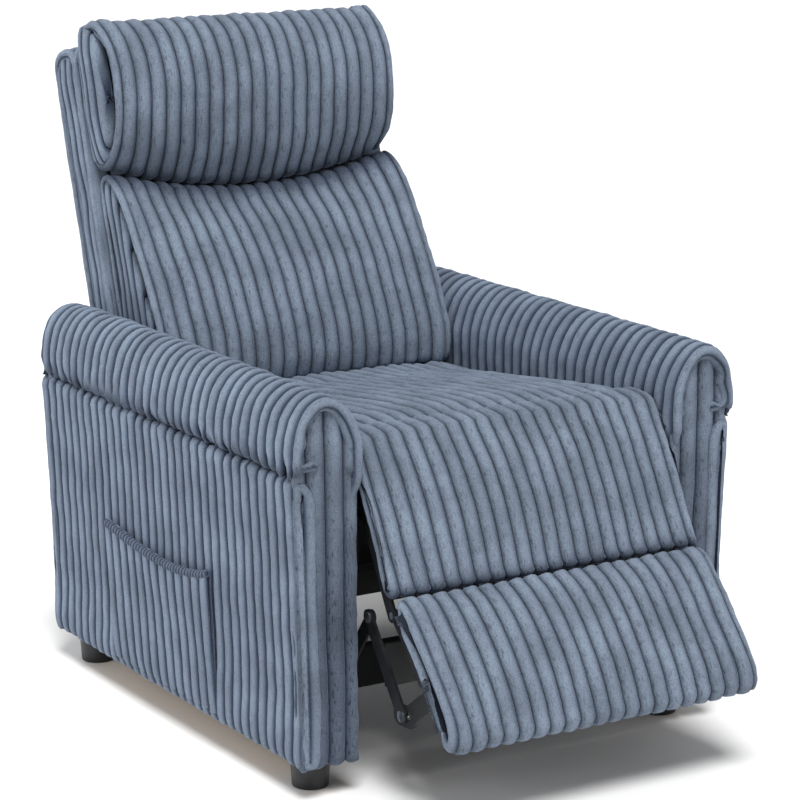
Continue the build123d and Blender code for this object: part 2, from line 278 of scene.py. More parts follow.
def endPanel(name, outline, side, x, bulge, lean=0.0, pitch=None, thick=14.0, height=5.0, seed=1, shade=None):
    # a padded side panel of any outline of (depth, height) points, whose ribs run up along the lean
    loop = smoothLine(outline, True, 5.0)[0]
    up = np.array([math.sin(lean), math.cos(lean)])
    rearward = np.array([math.cos(lean), -math.sin(lean)])
    b, a = loop @ rearward, loop @ up
    first, last = int(np.argmin(b)), int(np.argmax(b))
    one = np.arange(first, last + (len(b) if last < first else 0) + 1) % len(b)
    two = np.arange(last, first + (len(b) if first < last else 0) + 1) % len(b)
    high, low = (one, two) if a[one].mean() > a[two].mean() else (two, one)
    high, low = high[np.argsort(b[high])], low[np.argsort(b[low])]
    half, mid, tall = (b.max() - b.min()) / 2, (b.max() + b.min()) / 2, a.max() - a.min()

    def warp(grid):
        u = np.clip(side * grid[..., 0], -half, half)
        v = grid[..., 2] / tall
        top, bottom = np.interp(mid + u, b[high], a[high]), np.interp(mid + u, b[low], a[low])
        rise = bottom + (top - bottom) * v
        puff = bulge * (1 - (u / half) ** 2) * np.clip(4 * v * (1 - v), 0, 1) ** 0.5
        out = np.empty_like(grid)
        out[..., 0] = side * (x + puff - grid[..., 1])
        out[..., 1] = (mid + u) * rearward[0] + rise * up[0]
        out[..., 2] = (mid + u) * rearward[1] + rise * up[1]
        return out

    r = thick / 3
    section = [(0, r), (0, tall * 0.5), (0, tall - r), (r, tall), (thick - r, tall), (thick, tall - r),
               (thick, tall * 0.5), (thick, r), (thick - r, 0), (r, 0)]
    return ribbedPad(name, section, [(thick / 2, r), (thick / 2, tall - r)], half, rounding=4, gusset=0,
                     warp=warp,
                     pitch=pitch, height=height, seed=seed, shade=shade)


clothRun = {
    "cell": 14.0,       # spacing of the cloth copy's points across a pad
    "pressure": 4.0,
    "frames": 20,
    "takenBack": 0.55,  # share of the puff taken off the free area again
}


def settleCloth(name, surface, total, half, settings):
    # runs a cloth copy under air pressure, and returns a function that adds its rise, at any station
    stations = max(8, round(total / clothRun["cell"]))
    sv = np.linspace(-total / 2, total / 2, stations + 1)
    start = surface(sv)
    loop = start.shape[1]
    index = np.arange(start.shape[0] * loop).reshape(start.shape[0], loop)
    a, b = index[:-1], index[1:]
    quads = np.stack([a, np.roll(a, -1, 1), np.roll(b, -1, 1), b], -1).reshape(-1, 4).tolist()
    mesh = bpy.data.meshes.new(name + "_cloth")
    mesh.from_pydata((start.reshape(-1, 3) / 1000).tolist(), [],
                     quads + [index[0][::-1].tolist(), index[-1].tolist()])
    cloth = bpy.data.objects.new(name + "_cloth", mesh)
    bpy.context.collection.objects.link(cloth)
    held = cloth.vertex_groups.new(name="held")
    edge = smoothStep(np.abs(start[..., 0]), half - 46, half - 18)  # the side seams hold as well
    weight = np.maximum(settings["held"](start), edge)
    levels = np.round(weight.ravel() * 10)
    for level in range(1, 11):
        chosen = np.nonzero(levels == level)[0]
        if len(chosen):
            held.add(chosen.tolist(), level / 10, "REPLACE")
    deselectAll()
    cloth.select_set(True)
    bpy.context.view_layer.objects.active = cloth
    modifier = cloth.modifiers.new("Cloth", "CLOTH")
    modifier.settings.use_pressure = True
    modifier.settings.uniform_pressure_force = clothRun["pressure"]
    modifier.settings.effector_weights.gravity = 0
    modifier.settings.vertex_group_mass = "held"
    modifier.settings.pin_stiffness = 1.0
    modifier.settings.quality = 5
    modifier.point_cache.frame_start, modifier.point_cache.frame_end = 1, clothRun["frames"]
    scene = bpy.context.scene
    for number in range(1, clothRun["frames"] + 1):
        scene.frame_set(number)
    done = cloth.evaluated_get(bpy.context.evaluated_depsgraph_get())
    moved = np.array([v.co for v in done.data.vertices]) * 1000
    scene.frame_set(1)
    bpy.data.objects.remove(cloth)
    bpy.data.meshes.remove(mesh)
    outwards = -gridNormals(start)
    rise = ((moved.reshape(start.shape) - start) * outwards).sum(2)
    for smoothing in range(3):  # keeps the creases soft
        ends = np.concatenate([rise[:1], rise, rise[-1:]])
        rise = (ends[:-2] + 2 * rise + ends[2:]) / 4
        rise = (np.roll(rise, 1, 1) + 2 * rise + np.roll(rise, -1, 1)) / 4
    print("settled", name, "rises up to", round(float(rise.max()), 1), "mm")
    # part of the rise is taken back, so that the free area stays near the drawn outline
    puff = settings["puff"]
    rise = puff * np.tanh(rise / puff) - clothRun["takenBack"] * puff * (1 - weight)
    shift = rise[..., None] * outwards

    def at(places):
        f = (places + total / 2) / total * stations
        i = np.clip(np.floor(f).astype(int), 0, stations - 1)
        t = (f - i)[:, None, None]
        p0, p1 = shift[np.maximum(i - 1, 0)], shift[i]
        p2, p3 = shift[i + 1], shift[np.minimum(i + 2, stations)]
        blend = 0.5 * (2 * p1 + (p2 - p0) * t + (2 * p0 - 5 * p1 + 4 * p2 - p3) * t ** 2
                       + (3 * p1 - p0 - 3 * p2 + p3) * t ** 3)
        return surface(places) + blend

    return at


# Materials

def linear(hexColour):
    # sRGB hex to the linear colour that Blender's sockets take
    values = [int(hexColour[i:i + 2], 16) / 255 for i in (1, 3, 5)]
    return [v / 12.92 if v <= 0.04045 else ((v + 0.055) / 1.055) ** 2.4 for v in values] + [1.0]


def newMaterial(name):
    material = bpy.data.materials.new(name)
    material.use_nodes = True
    material.node_tree.nodes.clear()
    return material


def addNode(tree, kind, settings=None, inputs=None):
    # one node with its settings, and its inputs given as values or as other nodes' sockets
    node = tree.nodes.new(kind)
    for key, value in (settings or {}).items():
        setattr(node, key, value)
    for key, value in (inputs or {}).items():
        if isinstance(value, bpy.types.NodeSocket):
            tree.links.new(value, node.inputs[key])
        else:
            node.inputs[key].default_value = value
    return node


def colourRamp(node, stops):
    ramp = node.color_ramp
    while len(ramp.elements) < len(stops):
        ramp.elements.new(0.5)
    for element, (place, colour) in zip(ramp.elements, stops):
        element.position = place
        element.color = linear(colour)


plush = {
    "groove": "#121824",      # between two ribs, where no light gets in
    "flankGrey": "#606b79",   # side of a rib where the pile stands open, painted lighter as the lit flank
    "flankBlue": "#333f54",   # side where the pile lies flat, painted darker as the shaded flank
    # painted highlight along the crest of each rib
    "crest": "#7b8797",
    "paintedShade": "#151e30",     # painted shade at seams and creases, low on the arm end panels and on the pocket hem
    "scratchWide": 0.0017,    # gaps between tufts, in metres
    "scratchLong": 0.013,
    "fuzz": 0.0026,
    "drift": 0.07,            # slow changes of tone
}


def plushCorduroy(name):
    # cut polyester pile in wide ribs: matt, with a soft sheen at grazing angles, painted shade in the
    # grooves, painted highlights on the crests, open tufts along one flank of each rib and smooth pile along
    # the other, the two flanks also painted lighter and darker as light and shade
    material = newMaterial(name)
    tree = material.node_tree
    uv = addNode(tree, "ShaderNodeUVMap", {"uv_map": "UVMap"})
    place = addNode(tree, "ShaderNodeTexCoord")
    crest = addNode(tree, "ShaderNodeAttribute", {"attribute_name": "ribCrest"})
    flank = addNode(tree, "ShaderNodeAttribute", {"attribute_name": "ribFlank"})
    paintedShade = addNode(tree, "ShaderNodeAttribute", {"attribute_name": "seamShade"})
    stretch = addNode(tree, "ShaderNodeMapping", inputs={
        "Vector": uv.outputs["UV"], "Scale": (1 / plush["scratchWide"], 1 / plush["scratchLong"], 1)})
    tufts = addNode(tree, "ShaderNodeTexNoise", inputs={
        "Vector": stretch.outputs["Vector"], "Scale": 1.0, "Detail": 3.0, "Roughness": 0.6})
    fuzz = addNode(tree, "ShaderNodeTexNoise", inputs={
        "Vector": place.outputs["Object"], "Scale": 1 / plush["fuzz"], "Detail": 3.0, "Roughness": 0.65})
    drift = addNode(tree, "ShaderNodeTexNoise", inputs={
        "Vector": place.outputs["Object"], "Scale": 1 / plush["drift"], "Detail": 3.0, "Roughness": 0.5})
    # one flank of each rib is painted lighter and the other darker: painted light and shade, partly the lie
    # of the pile; the open tufts follow the lighter flank
    litOpenFlank = addNode(tree, "ShaderNodeMapRange", inputs={
        "Value": flank.outputs["Fac"], "From Min": -0.5, "From Max": 0.6, "To Min": 1.0, "To Max": 0.22})
    gaps = addNode(tree, "ShaderNodeMapRange", inputs={
        "Value": tufts.outputs["Fac"], "From Min": 0.54, "From Max": 0.72, "To Min": 0.0, "To Max": 0.65})
    gapAmount = addNode(tree, "ShaderNodeMath", {"operation": "MULTIPLY"}, {
        0: gaps.outputs["Result"], 1: litOpenFlank.outputs["Result"]})
    flankTone = addNode(tree, "ShaderNodeMix", {"data_type": "RGBA"}, {"Factor": litOpenFlank.outputs["Result"]})
    flankTone.inputs[6].default_value = linear(plush["flankBlue"])
    flankTone.inputs[7].default_value = linear(plush["flankGrey"])
    # painted highlight along the crest of each rib
    crestAmount = addNode(tree, "ShaderNodeMapRange", inputs={
        "Value": crest.outputs["Fac"], "From Min": 0.66, "From Max": 1.0, "To Min": 0.0, "To Max": 0.85})
    body = addNode(tree, "ShaderNodeMix", {"data_type": "RGBA"}, {"Factor": crestAmount.outputs["Result"]})
    tree.links.new(flankTone.outputs[2], body.inputs[6])
    body.inputs[7].default_value = linear(plush["crest"])
    # painted shade in the grooves, with a ragged edge from the tufts
    raggedCrest = addNode(tree, "ShaderNodeMath", {"operation": "MULTIPLY_ADD"}, {
        0: tufts.outputs["Fac"], 1: 0.30, 2: crest.outputs["Fac"]})
    grooveAmount = addNode(tree, "ShaderNodeMapRange", inputs={
        "Value": raggedCrest.outputs[0], "From Min": 0.3, "From Max": 0.76, "To Min": 0.92, "To Max": 0.0})
    grooved = addNode(tree, "ShaderNodeMix", {"data_type": "RGBA"},
                      {"Factor": grooveAmount.outputs["Result"]})
    tree.links.new(body.outputs[2], grooved.inputs[6])
    grooved.inputs[7].default_value = linear(plush["groove"])
    # dark gaps between tufts, plus painted shade wherever the seamShade mask is set
    darkest = addNode(tree, "ShaderNodeMath", {"operation": "MULTIPLY_ADD", "use_clamp": True}, {
        0: paintedShade.outputs["Fac"], 1: 0.8, 2: gapAmount.outputs[0]})
    gapsAndShade = addNode(tree, "ShaderNodeMix", {"data_type": "RGBA"}, {"Factor": darkest.outputs[0]})
    tree.links.new(grooved.outputs[2], gapsAndShade.inputs[6])
    gapsAndShade.inputs[7].default_value = linear(plush["paintedShade"])
    speck = addNode(tree, "ShaderNodeMapRange", inputs={
        "Value": fuzz.outputs["Fac"], "From Min": 0.3, "From Max": 0.7, "To Min": 0.80, "To Max": 1.20})
    tone = addNode(tree, "ShaderNodeMapRange", inputs={
        "Value": drift.outputs["Fac"], "From Min": 0.35, "From Max": 0.65, "To Min": 0.82, "To Max": 1.16})
    grain = addNode(tree, "ShaderNodeMath", {"operation": "MULTIPLY"}, {
        0: speck.outputs["Result"], 1: tone.outputs["Result"]})
    mixed = addNode(tree, "ShaderNodeVectorMath", {"operation": "SCALE"}, {
        "Vector": gapsAndShade.outputs[2], "Scale": grain.outputs[0]})
    pile = addNode(tree, "ShaderNodeMath", {"operation": "MULTIPLY_ADD"}, {
        0: gapAmount.outputs[0], 1: -0.9, 2: fuzz.outputs["Fac"]})
    bump = addNode(tree, "ShaderNodeBump", inputs={
        "Strength": 0.75, "Distance": 0.0022, "Height": pile.outputs[0]})
    shader = addNode(tree, "ShaderNodeBsdfPrincipled", inputs={
        "Base Color": mixed.outputs[0], "Roughness": 0.9, "IOR": 1.45, "Specular IOR Level": 0.2,
        "Sheen Weight": 0.45, "Sheen Roughness": 0.35, "Sheen Tint": linear("#b9c8e2"),
        "Normal": bump.outputs["Normal"]})
    addNode(tree, "ShaderNodeOutputMaterial", inputs={"Surface": shader.outputs["BSDF"]})
    return material


plushBlue = plushCorduroy("plush_corduroy_slate")


def dress(piece, material):
    piece.data.materials.clear()
    piece.data.materials.append(material)


# Seat, leg rest and footrest: the ribs run from the back of the seat to the toe

seat = {
    "outline": [(548, 446), (420, 456), (250, 476), (120, 492), (50, 499), (20, 498), (6, 490), (0, 468),
                (-4, 430), (-2, 392), (20, 384), (300, 384), (530, 384), (550, 400), (553, 430)],
    "spine": [(480, 420), (40, 440)],
    "crown": 9.0,
}


def seatShape(grid, share, normal):
    # the middle of the seat stands a little prouder than its sides
    top = np.clip(normal[..., 2], 0, 1)
    depth = np.clip((grid[..., 1] - 10) / 530, 0, 1)
    lift = seat["crown"] * (1 - share ** 3) * np.sin(depth * math.pi) ** 0.6 - 8 * share ** 6
    return normal * (lift * top)[..., None]


seatPad = ribbedPad("seatPad", seat["outline"], seat["spine"], seatHalf, rounding=26, gusset=12,
                    shape=seatShape,
                    settle={"held": lambda g: 1 - smoothStep(g[..., 2], 415, 445), "puff": 9.0}, seed=11)
dress(seatPad, plushBlue)
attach(seatPad, "seat")
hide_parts("seat_cushion")

legrest = {
    "outline": [(30, 494), (20, 502), (-8, 504), (-38, 497), (-70, 458), (-103, 408), (-128, 357),
                (-146, 318),
                (-149, 306), (-143, 297), (-132, 294), (-122, 298), (-108, 330), (-84, 380), (-62, 418),
                (-46, 448), (-22, 474), (4, 484), (22, 484)],
    "spine": [(10, 491), (-30, 480), (-72, 436), (-110, 372), (-134, 316)],
}


def legrestShape(grid, share, normal):
    front = np.clip(-normal[..., 1] * 0.8 + normal[..., 2] * 0.6, 0, 1)
    run = np.clip((500 - grid[..., 2]) / 200, 0, 1)
    return -normal * ((6 * share ** 2 + 9 * share ** 5) * (0.4 + 0.6 * np.sin(run * math.pi)) * front)[...,
                                                                                                       None]


def legrestHeld(grid):
    # the seam to the seat, the crease and the whole back stay where they are sewn
    front = smoothStep(grid[..., 2] - (456 + (grid[..., 1] + 66) * 1.85), -24, -4)
    return 1 - front * (1 - smoothStep(grid[..., 1], -14, 6)) * smoothStep(grid[..., 2], 302, 318)


legPad = ribbedPad("legrestCover", legrest["outline"], legrest["spine"], seatHalf + 4, rounding=12, gusset=0,
                   # painted shade along the crease to the footrest, fading out between 300 and 322 mm up
                   shape=legrestShape, shade=lambda g: 1 - smoothStep(g[..., 2], 300, 322), seed=12,
                   settle={"held": legrestHeld, "puff": 9.0})
dress(legPad, plushBlue)
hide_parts("legrest_pad")


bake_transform(legPad)

footrest = {
    "outline": [(-147, 298), (-154, 304), (-172, 300), (-202, 275), (-243, 232), (-276, 194), (-296, 163),
                (-299, 138),
                (-288, 119), (-272, 119), (-256, 146), (-205, 204), (-158, 256), (-146, 280)],
    "spine": [(-164, 282), (-220, 225), (-272, 150)],
}


def footrestShape(grid, share, normal):
    front = np.clip(-normal[..., 1] * 0.7 + normal[..., 2] * 0.7, 0, 1)
    run = np.clip((304 - grid[..., 2]) / 180, 0, 1)
    return -normal * ((4 * share ** 2 + 6 * share ** 6) * (0.4 + 0.6 * np.sin(run * math.pi)) * front)[...,
                                                                                                       None]


def footrestHeld(grid):
    # held by its board at the back and by the crease
    proud = (grid[..., 2] - 291) - (grid[..., 1] + 178) * 1.1
    return smoothStep(-proud, 4, 22)


footPad = ribbedPad("footrestPad", footrest["outline"], footrest["spine"], seatHalf, rounding=14, gusset=8,
                    shape=footrestShape, settle={"held": footrestHeld, "puff": 9.0}, seed=13)
dress(footPad, plushBlue)
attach(footPad, "footrest")
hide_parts("footrest_pad")
print("seat pads made")

# Backrest: lumbar pad, head pad and the shell behind them

lean = math.radians(16.4)
lumbar = {
    "outline": [(508, 448), (501, 476), (504, 508), (524, 558), (556, 616), (592, 670), (628, 722),
                (660, 753),
                (690, 767), (712, 765), (722, 752), (690, 620), (652, 490), (640, 456), (600, 446),
                (540, 443)],
    "spine": [(560, 480), (600, 570), (680, 730)],
    "side": [(722, 756), (690, 752), (664, 724), (611, 637), (567, 570), (527, 529), (516, 490), (524, 452),
             (580, 448), (640, 456), (682, 590), (722, 720)],
    "sag": 36.0,        # the seam between lumbar pad and head pad hangs lower in the middle
    "seamHeight": 768.0,
}


def middleSag(grid, near):
    # how far the seam between the two back pads hangs, at each point
    across = np.clip(np.abs(grid[..., 0]) / 250, 0, 1)
    return -lumbar["sag"] * (1 - across ** 2) * near


def lumbarShape(grid, share, normal):
    front = np.clip(-normal[..., 1] + 0.2 * np.clip(normal[..., 2], 0, 1), 0, 1)
    fall = normal * ((-5 * share ** 2 - 12 * share ** 8) * front)[..., None]
    fall[..., 2] += middleSag(grid, smoothStep(grid[..., 2], 640, 765))
    crumple = smoothStep(share, 0.78, 0.95) * (1 - smoothStep(grid[..., 2], 520, 640))
    return fall + normal * (4.5 * crumple * softNoise(grid, 34, 9) * front)[..., None]


def pinchShade(grid):
    # painted shade where the pads are sewn together
    sag = lumbar["seamHeight"] + middleSag(grid, 1.0)
    return np.exp(-((grid[..., 2] - sag) / 17) ** 2)


def backHeld(grid):
    # sewn down along the shell and along the seam between the two pads
    ahead = 627 + (grid[..., 2] - 395) * math.tan(lean) - grid[..., 1]
    seam = np.exp(-((grid[..., 2] - lumbar["seamHeight"] - middleSag(grid, 1.0)) / 14) ** 2)
    return np.clip(1 - smoothStep(ahead, 20, 55) + seam, 0, 1)


lumbarPad = ribbedPad("lumbarPad", lumbar["outline"], lumbar["spine"], lumbarHalf, rounding=12, gusset=12,
                      quarterTurns=2, shape=lumbarShape, shade=pinchShade,
                      settle={"held": backHeld, "puff": 9.0},
                      seed=14)
dress(lumbarPad, plushBlue)
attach(lumbarPad, "backrest")
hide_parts("lumbar_pad")

head = {
    "outline": [(738, 776), (718, 767), (700, 768), (680, 781), (661, 806), (650, 838), (647, 866),
                (651, 905),
                (662, 944), (682, 976), (710, 998), (740, 1007), (766, 998), (784, 974), (786, 944),
                (768, 880),
                (750, 806)],
    "spine": [(706, 826), (734, 950)],
    "side": [(752, 986), (730, 970), (708, 914), (694, 870), (689, 822), (704, 780), (738, 778), (762, 870),
             (784, 945), (778, 988)],
}


def headShape(grid, share, normal):
    front = np.clip(-normal[..., 1] + 0.15, 0, 1)
    fall = normal * ((-7 * share ** 2 - 20 * share ** 8) * front)[..., None]
    fall[..., 2] += middleSag(grid, 1 - smoothStep(grid[..., 2], 768, 860))
    fall[..., 2] -= smoothStep(grid[..., 2], 940, 1000) * (4 + 7 * share ** 6)
    return fall


headPad = ribbedPad("headPad", head["outline"], head["spine"], headHalf - 14, rounding=12, gusset=10,
                    quarterTurns=2,
                    middle=-6.0, shape=headShape, shade=pinchShade, settle={"held": backHeld, "puff": 9.0},
                    seed=15)
dress(headPad, plushBlue)
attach(headPad, "backrest")
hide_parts("head_pad")

shell = {
    "outline": [(800, 948), (826, 950), (850, 940), (862, 922), (858, 900), (825, 788), (792, 680),
                (760, 575),
                (728, 470), (704, 390), (690, 377), (660, 384), (634, 393), (634, 415), (660, 500),
                (690, 603),
                (720, 705), (750, 808), (780, 908), (788, 936)],
    "spine": [(676, 420), (720, 570), (770, 740), (816, 895)],
}
shellPad = ribbedPad("backShellCover", shell["outline"], shell["spine"], shellHalf, rounding=11, gusset=12,
                     quarterTurns=2, seed=16)
dress(shellPad, plushBlue)
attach(shellPad, "backrest")
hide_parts("back_shell")
shellSide = [(792, 946), (822, 946), (852, 930), (858, 918), (826, 800), (770, 610), (722, 440), (694, 384),
             (632, 400), (634, 416), (662, 512), (706, 660), (752, 812)]
for name, side in (("left", 1), ("right", -1)):
    gussets = [
        # piece, outline, place across, how far it puffs, pitch
        ("lumbarSide_", lumbar["side"], lumbarHalf - 9, 7.0, 21.0),
        ("headSide_", head["side"], headHalf - 18 - 6 * side, 12.0, 20.0),
        ("shellSide_", shellSide, shellHalf - 8, 4.0, 23.0),
    ]
    for number, (piece, outline, x, bulge, pitch) in enumerate(gussets):
        gusset = endPanel(piece + name, outline, side, x, bulge, lean=lean, pitch=pitch,
                          seed=60 + number + side)
        dress(gusset, plushBlue)
        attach(gusset, "backrest")
print("backrest pads made")

# Arms: the ribs run up the sides and over the roll

arm = {
    "roll": [(268, 64), (268, 180), (268, 320), (266, 410), (261, 446), (259, 480), (262, 512), (276, 546),
             (298, 568), (319, 574), (341, 566), (358, 546), (367, 518), (370, 494), (369, 474), (364, 463),
             (356, 459), (340, 462), (316, 464), (300, 440), (291, 400), (289, 200), (288, 64)],
    "rollSpine": [(278, 80), (278, 400), (296, 490), (316, 518), (334, 508)],
    "side": [(352, 50), (355, 150), (359, 250), (363, 350), (367, 430), (368, 452), (363, 461), (346, 459),
             (332, 440), (327, 300), (326, 50), (336, 46)],
    "sideSpine": [(344, 62), (353, 440)],
    "rimThick": 23.0,     # the first rib, rolled round the front edge
    "panelOutLow": 356.0,  # outer edge of the flat panels between the rims
    "panelOutHigh": 367.0,
    "panelTop": 556.0,
    "archMid": (314.5, 518.0),
    "archInside": 40.0,
}
armMiddle = (armFront + armRear) / 2 + 2
armHalf = (armRear - armFront) / 2 + 2


def rollWarp(grid):
    # the rims draw back below the roll, where the flat end panels take over
    out = grid.copy()
    under = smoothStep(np.abs(grid[..., 0]), 272, 284)
    low = 1 - smoothStep(grid[..., 2], 385 + 77 * under, 458 + 20 * under)
    low = low * (1 - smoothStep(np.abs(grid[..., 0]), 355, 365))
    fromMiddle = grid[..., 1] - armMiddle
    edge = smoothStep(np.abs(fromMiddle), armHalf - 60, armHalf - 20)
    out[..., 1] -= np.sign(fromMiddle) * 26 * low * edge
    return out


def rollShape(grid, share, normal):
    # gathers where the roll is sewn to the side
    x, z = np.abs(grid[..., 0]), grid[..., 2]
    seam = np.exp(-((z - 468) / 13) ** 2) * smoothStep(x, 345, 362)
    gather = 2.6 * seam * (softNoise(grid * np.array([0.2, 1, 0.35]), 21, 5) - 0.4)
    droop = np.zeros_like(grid)
    droop[..., 2] = -4 * smoothStep(grid[..., 1], armRear - 90, armRear) * smoothStep(z, 470, 560)
    return normal * gather[..., None] + droop


def rollSeamShade(grid):
    # painted shade in short strokes above the seam
    x, z = np.abs(grid[..., 0]), grid[..., 2]
    reach = 26 + 14 * softNoise(grid * np.array([0.1, 1, 0.1]), 26, 8)
    return (1 - smoothStep(z - 462, 0, np.maximum(reach, 6))) * smoothStep(x, 335, 356) * 0.85


def sideShape(grid, share, normal):
    seam = np.exp(-((grid[..., 2] - 458) / 12) ** 2)
    return normal * (1.5 * seam * (softNoise(grid * np.array([0.2, 1, 0.35]), 24, 6) - 0.3))[..., None]


def panelWarp(side, inner):
    def warp(grid):
        # leans the outer edge outwards and rounds the top to fit inside the arch
        out = grid.copy()
        up = (grid[..., 2] - hemZ) / (arm["panelTop"] - hemZ)
        outer = arm["panelOutLow"] + (arm["panelOutHigh"] - arm["panelOutLow"]) * np.clip(up * 1.2, 0, 1)
        x = inner + (outer - inner) * (side * grid[..., 0] + panelHalf) / (2 * panelHalf)
        reach = np.maximum(arm["archInside"] ** 2 - (x - arm["archMid"][0]) ** 2, 0) ** 0.5
        top = arm["archMid"][1] + reach - 60 * np.clip((arm["archMid"][0] - 36 - x) / 16, 0, 1)
        out[..., 2] = hemZ + up * (top - hemZ)
        out[..., 0] = side * x
        return out
    return warp


def panelShade(grid):
    # darkened towards the floor; this is painted shade, not light
    return 0.62 * (1 - smoothStep(grid[..., 2], 260, 540))


panelHalf = 43.0
panelSection = [(0, 50), (0, 150), (0, 300), (0, 450), (0, 520), (2, 552), (8, 556), (16, 550), (17, 300),
                (17, 60),
                (14, 47), (4, 46)]
for name, side in (("left", 1), ("right", -1)):
    rollPad = ribbedPad("armRoll_" + name, [(side * x, z) for x, z in arm["roll"]],
                        [(side * x, z) for x, z in arm["rollSpine"]], armHalf, rounding=arm["rimThick"] / 2,
                        gusset=14,
                        quarterTurns=2, axis="y", middle=armMiddle, shape=rollShape, warp=rollWarp,
                        shade=rollSeamShade,
                        seed=20 + side)
    dress(rollPad, plushBlue)
    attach(rollPad, "base")
    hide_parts("arm_roll_" + name, "arm_inner_panel_" + name)
    sidePad = ribbedPad("armSide_" + name, [(side * x, z) for x, z in arm["side"]],
                        [(side * x, z) for x, z in arm["sideSpine"]], armHalf - 3, rounding=9, gusset=14,
                        axis="y",
                        middle=armMiddle + 5, shape=sideShape, height=5.6, seed=30 + side,
                        # painted shade along the top of the side pad, where it meets the roll
                        shade=lambda g: 0.5 * smoothStep(g[..., 2], 450, 460))
    dress(sidePad, plushBlue)
    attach(sidePad, "base")
    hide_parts("arm_outer_panel_" + name)
    for end, front, turn, inner in (("front", armFront + 12, 1, 260.0), ("back", armRear - 4, -1, 268.0)):
        section = [(front + turn * y, z) for y, z in panelSection]
        panel = ribbedPad(f"arm{end.title()}Panel_{name}", section,
                          [(front + turn * 9, 70), (front + turn * 9, 530)],
                          panelHalf, rounding=7, gusset=0, warp=panelWarp(side, inner), pitch=25.0,
                          height=9.5,
                          seed=40 + side + turn, shade=panelShade)
        dress(panel, plushBlue)
        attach(panel, "base")
        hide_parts(f"arm_{end}_panel_{name}")
print("arms made")

# Side pocket: a flat bag with an elastic mouth

pocket = {
    "front": 172.0,
    "rear": 497.0,
    "outline": [(353, 62), (356, 150), (360, 250), (361, 272), (363, 279), (367, 281), (371, 277), (371, 262),
                (368, 200), (363, 120), (359, 70), (355, 58)],
    "spine": [(357, 80), (365, 266)],
    "sag": 17.0,
}
pocketMiddle = (pocket["front"] + pocket["rear"]) / 2
pocketHalf = (pocket["rear"] - pocket["front"]) / 2


def pocketWarp(grid):
    # the mouth sags between its ends and the bag bellies out a little
    out = grid.copy()
    t = np.clip((grid[..., 1] - pocket["front"]) / (2 * pocketHalf), 0, 1)
    sag = np.sin(math.pi * t ** 0.75)
    high = smoothStep(grid[..., 2], 150, 275)
    out[..., 2] -= pocket["sag"] * sag * high
    out[..., 0] -= 2.5 * sag * high
    return out


pocketBag = ribbedPad("sidePocket", [(-x, z) for x, z in pocket["outline"]],
                      [(-x, z) for x, z in pocket["spine"]],
                      pocketHalf, rounding=4, gusset=0, axis="y", middle=pocketMiddle, warp=pocketWarp,
                      height=4.6,
                      seed=51)
dress(pocketBag, plushBlue)
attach(pocketBag, "base")
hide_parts("side_pocket")
circle = [(-368 + 6 * math.cos(a), 274 + 7 * math.sin(a)) for a in np.linspace(0, 2 * math.pi, 9)[:-1]]
pocketHem = ribbedPad("pocketElasticHem", circle, [(-368, 272), (-368, 276)], pocketHalf - 1, rounding=4,
                      gusset=1,
                      axis="y", middle=pocketMiddle, warp=pocketWarp, height=2.2, pitch=8.5, step=3, seed=52,
                      # the whole elastic hem is painted darker: painted shade in the gathered mouth
                      shade=lambda g: np.full(g.shape[:2], 0.7))
dress(pocketHem, plushBlue)
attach(pocketHem, "base")
print("pocket made")

# Hard parts keep their shapes and get their real finishes

def powderCoat():
    # black polyester powder coat on stamped steel: even, slightly pebbled, scuffed lighter in places
    material = newMaterial("powder_coat_black_steel")
    tree = material.node_tree
    place = addNode(tree, "ShaderNodeTexCoord")
    peel = addNode(tree, "ShaderNodeTexNoise", inputs={
        "Vector": place.outputs["Object"], "Scale": 900.0, "Detail": 2.0})
    scuff = addNode(tree, "ShaderNodeTexNoise", inputs={
        "Vector": place.outputs["Object"], "Scale": 60.0, "Detail": 6.0, "Roughness": 0.7})
    colour = addNode(tree, "ShaderNodeValToRGB", inputs={"Fac": scuff.outputs["Fac"]})
    colourRamp(colour, [(0.35, "#0b0c0e"), (0.62, "#15171a"), (0.8, "#2b2e33")])
    rough = addNode(tree, "ShaderNodeMapRange", inputs={
        "Value": scuff.outputs["Fac"], "From Min": 0.3, "From Max": 0.7, "To Min": 0.38, "To Max": 0.56})
    bump = addNode(tree, "ShaderNodeBump", inputs={
        "Strength": 0.25, "Distance": 0.0003, "Height": peel.outputs["Fac"]})
    shader = addNode(tree, "ShaderNodeBsdfPrincipled", inputs={
        "Base Color": colour.outputs["Color"], "Roughness": rough.outputs["Result"], "IOR": 1.5,
        "Normal": bump.outputs["Normal"]})
    addNode(tree, "ShaderNodeOutputMaterial", inputs={"Surface": shader.outputs["BSDF"]})
    return material


